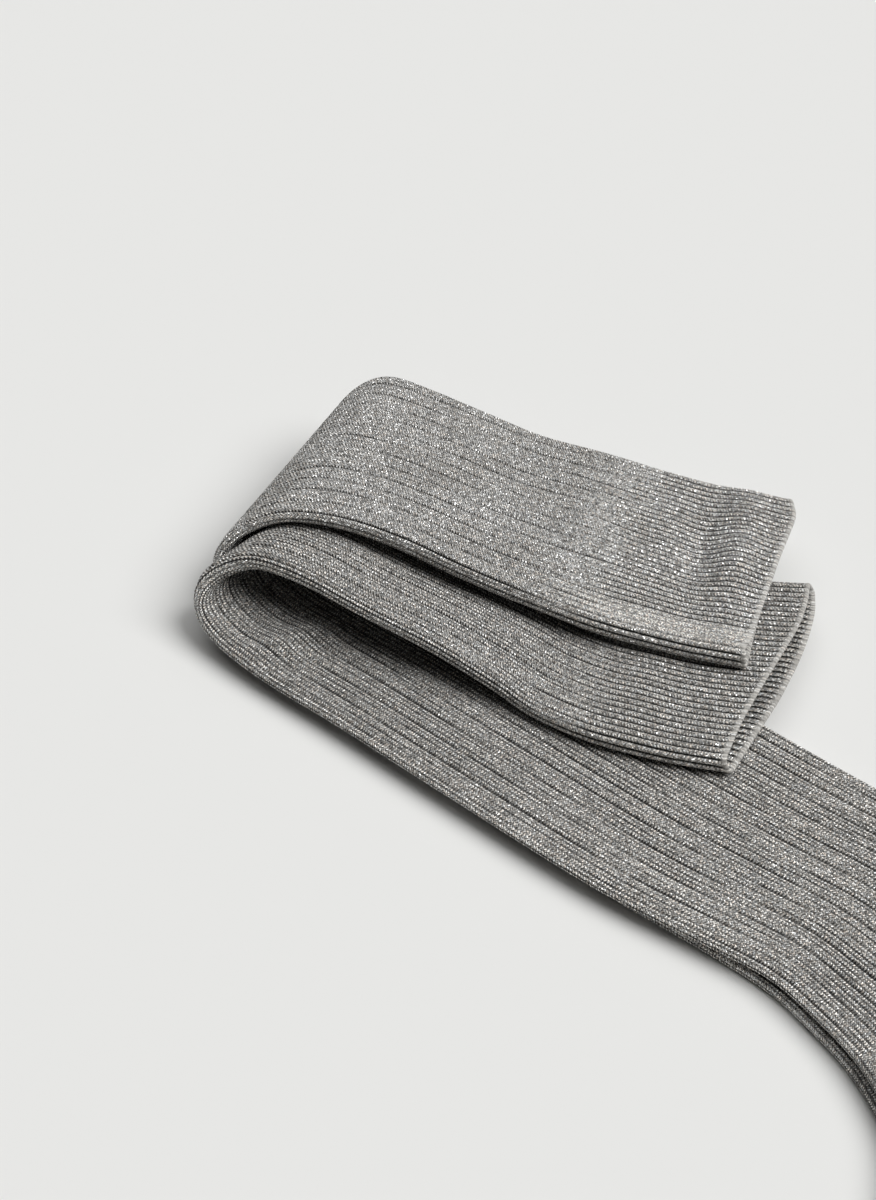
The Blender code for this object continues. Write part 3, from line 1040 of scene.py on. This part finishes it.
# How far a groove's painted shade darkens the yarn, and the tone of the random patches.
GROOVE_PAINTED_SHADE, PATCHES = 0.94, (0.88, 0.24)
NEUTRAL = (0.99, 0.96, 0.90, 1.0)
WARM = (1.03, 0.93, 0.83, 1.0)
COOL = (0.95, 0.97, 0.97, 1.0)


def melange_with_painted_light_and_shade(paint, turn, along, surface, on_face, patch, knit):
    """The yarn's colour, twist by twist, with painted shade in its gaps and grooves and painted light on
    the crease's band and the lower leg.
    """
    column, row = paint.math("FLOOR", turn * float(GRAINS)), paint.math("FLOOR", along / GRAIN)
    grain, tint = chance(paint, column, row, 3), chance(paint, column, row, 11)
    painted_gap_shade = BAND_GAP_PAINTED_SHADE - on_face * (BAND_GAP_PAINTED_SHADE - knit.gap_depth)
    tone = DARK_FIBRE + grain * (LIGHTER + grain * LIGHTEST)
    # Painted shade in the gaps between strands, deeper in the crease's band.
    tone = tone * (1.0 - painted_gap_shade * (1.0 - surface.height))
    # The crease's band is painted lighter: painted light standing in for light from the front.
    tone = tone * (1.0 + BAND_PAINTED_LIGHT - on_face * BAND_PAINTED_LIGHT)
    # Painted shade in the grooves.
    tone = tone * (1.0 - surface.groove * GROOVE_PAINTED_SHADE)
    tone = tone * (PATCHES[0] + patch * PATCHES[1]) * surface.brightness
    yarn = paint.blend(paint.math("GREATER_THAN", tint, 0.80), NEUTRAL, WARM)
    yarn = paint.blend(paint.math("LESS_THAN", tint, 0.20), yarn, COOL)
    return paint.shaded(yarn, tone)


print("a twist every", GRAIN, "mm along the sock")

# %% Glints
GLINTS = 540          # places round the tube where bare metallic yarn may glint
GLINT = 0.30          # millimetres from one such place to the next along the sock
GLINT_TILT = 1.9      # how far a glint's face may turn away
METAL = (0.95, 0.95, 0.94, 1.0)
Glint = namedtuple("Glint", "share column row")


def glints_on(paint, turn, along, surface, patch, knit):
    """Where the metallic yarn lies bare: more in some patches, none in a groove."""
    column, row = paint.math("FLOOR", turn * float(GLINTS)), paint.math("FLOOR", along / GLINT)
    fleck = chance(paint, column, row, 23)
    share = paint.math("LESS_THAN", fleck, paint.ramp(patch, 0.38, 0.62, 0.35, 1.0) * knit.glints)
    share = share * (1.0 - surface.groove) * (1.0 - surface.strip * 0.8)
    return Glint(share, column, row)


def tilted(paint, normal, glint):
    """A normal, turned a random way where the glint's share is 1."""
    place = point(paint, glint.column, glint.row, 41.0)
    random = paint.node("ShaderNodeTexWhiteNoise", THREE_D, {"Vector": place}, 1)
    offset = paint.vector_math("SUBTRACT", {0: random, 1: (0.5, 0.5, 0.5)})
    scaled = paint.vector_math("SCALE", {0: offset, "Scale": glint.share * GLINT_TILT})
    summed = paint.vector_math("ADD", {0: normal, 1: scaled})
    return paint.vector_math("NORMALIZE", {0: summed})


print("glints every", GLINT, "mm at most")

# %% Welt
WELT_YARN = (0.57, 0.553, 0.52)
FUZZ_SCALE, FUZZ_REACH = 1700.0, 2.4   # fuzz per metre, and millimetres that it reaches
WELT_FADE = (-0.2, 1.8)                # millimetres past the welt


def welt_over(paint, yarn, along):
    """The welt's paler yarn over the rest, and the share of it at each place."""
    fuzz = cloud(paint, on_piece(paint), FUZZ_SCALE, 2.0)
    edge = 1.0 - paint.ramp(along + fuzz * FUZZ_REACH, WELT + WELT_FADE[0], WELT + WELT_FADE[1])
    welt = paint.shaded(WELT_YARN, 0.50 + fuzz * 0.8)
    return paint.blend(edge * 0.85, yarn, welt), edge


print("welt is", WELT, "mm wide")

# %% Knit material
BAND = (0.018, 0.024)      # share of the way round from the front crease: its open band
PATCH_SCALE = 40.0         # blotches per metre
MATT, GLOSS = 0.9, 0.58    # roughness of the wool, and how much smoother the metal is


def knit_material(name, cuff_end, knit):
    """A whole sock's knit; cuff_end None makes plain knit."""
    paint = Paint(name)
    turn, along = knit_map(paint)
    on_face = paint.ramp(paint.math("ABSOLUTE", turn - 0.5), *BAND)
    patch = cloud(paint, on_piece(paint), PATCH_SCALE, 2.0)
    surface = leg_surface(paint, turn, along, on_face, knit)
    if cuff_end is not None:
        surface = ribbed_surface(paint, turn, along, patch, cuff_end, knit, surface)
    yarn = melange_with_painted_light_and_shade(paint, turn, along, surface, on_face, patch, knit)
    glint = glints_on(paint, turn, along, surface, patch, knit)
    if cuff_end is not None:
        yarn, edge = welt_over(paint, yarn, along)
        glint = glint._replace(share=glint.share * (1.0 - edge))
    inputs = paint.shader.inputs
    paint.feed(inputs["Base Color"], paint.blend(glint.share, yarn, METAL))
    paint.feed(inputs["Metallic"], glint.share)
    paint.feed(inputs["Roughness"], MATT - glint.share * GLOSS)
    bump = {"Strength": 0.8, "Distance": 0.0003, "Height": surface.height}
    paint.feed(inputs["Normal"], tilted(paint, paint.node("ShaderNodeBump", {}, bump), glint))
    inputs["Sheen Weight"].default_value = 0.12
    inputs["Sheen Roughness"].default_value = 0.5
    inputs["Specular IOR Level"].default_value = 0.2
    return paint.material


OUTER_KNIT = knit_material("outer_sock_rib", outer_path.starts["leg"], OUTER_LOOK)
INNER_KNIT = knit_material("inner_sock_rib", inner_path.starts["leg"], INNER_LOOK)
PLAIN_KNIT = knit_material("heel_and_toe_plain", None, PLAIN_LOOK)
print("three knits:", OUTER_KNIT.name, INNER_KNIT.name, PLAIN_KNIT.name)

# %% [markdown]
# ## The ten pieces
#
# Every piece replaces the solid of the same name. The size of the flat cloth that a
# piece's knit was made from is printed: the way round the tube by its length. The outer
# sock rests on the floor, and the inner one on the outer sock's leg.

# %% Build the pieces
RIBS = {"outer": OUTER_KNIT, "inner": INNER_KNIT}


def girth(path, start, end):
    """Mean way round the tube between two distances from the rim, in millimetres."""
    inside = (path.along >= start) & (path.along <= end)
    widths = np.linalg.norm(path.columns[inside, 3:6] - path.columns[inside, 0:3], axis=1)
    thick = path.columns[inside, 6:8].mean()
    return float(2 * (widths.mean() - thick) + math.pi * thick)


for sock, path, rests_on in (("outer", outer_path, ["floor"]), ("inner", inner_path, ["outer_leg_knit"])):
    for index, kind in enumerate(PIECES):
        start = path.starts[kind]
        end = path.starts[PIECES[index + 1]] if kind != "toe" else float(path.along[-1])
        name = sock + "_" + kind + "_knit"
        piece = build_piece(name, sock, path, kind, start, end)
        piece.data.materials.append(PLAIN_KNIT if kind in ("heel", "toe") else RIBS[sock])
        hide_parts(sock + "_" + kind)
        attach(piece, "root")
        flat = (girth(path, start, end) * MM, (end - start) * MM)
        print(name, len(piece.data.polygons), "faces, flat", [round(side / MM) for side in flat], "mm")

# %% Finish
bpy.context.view_layer.update()
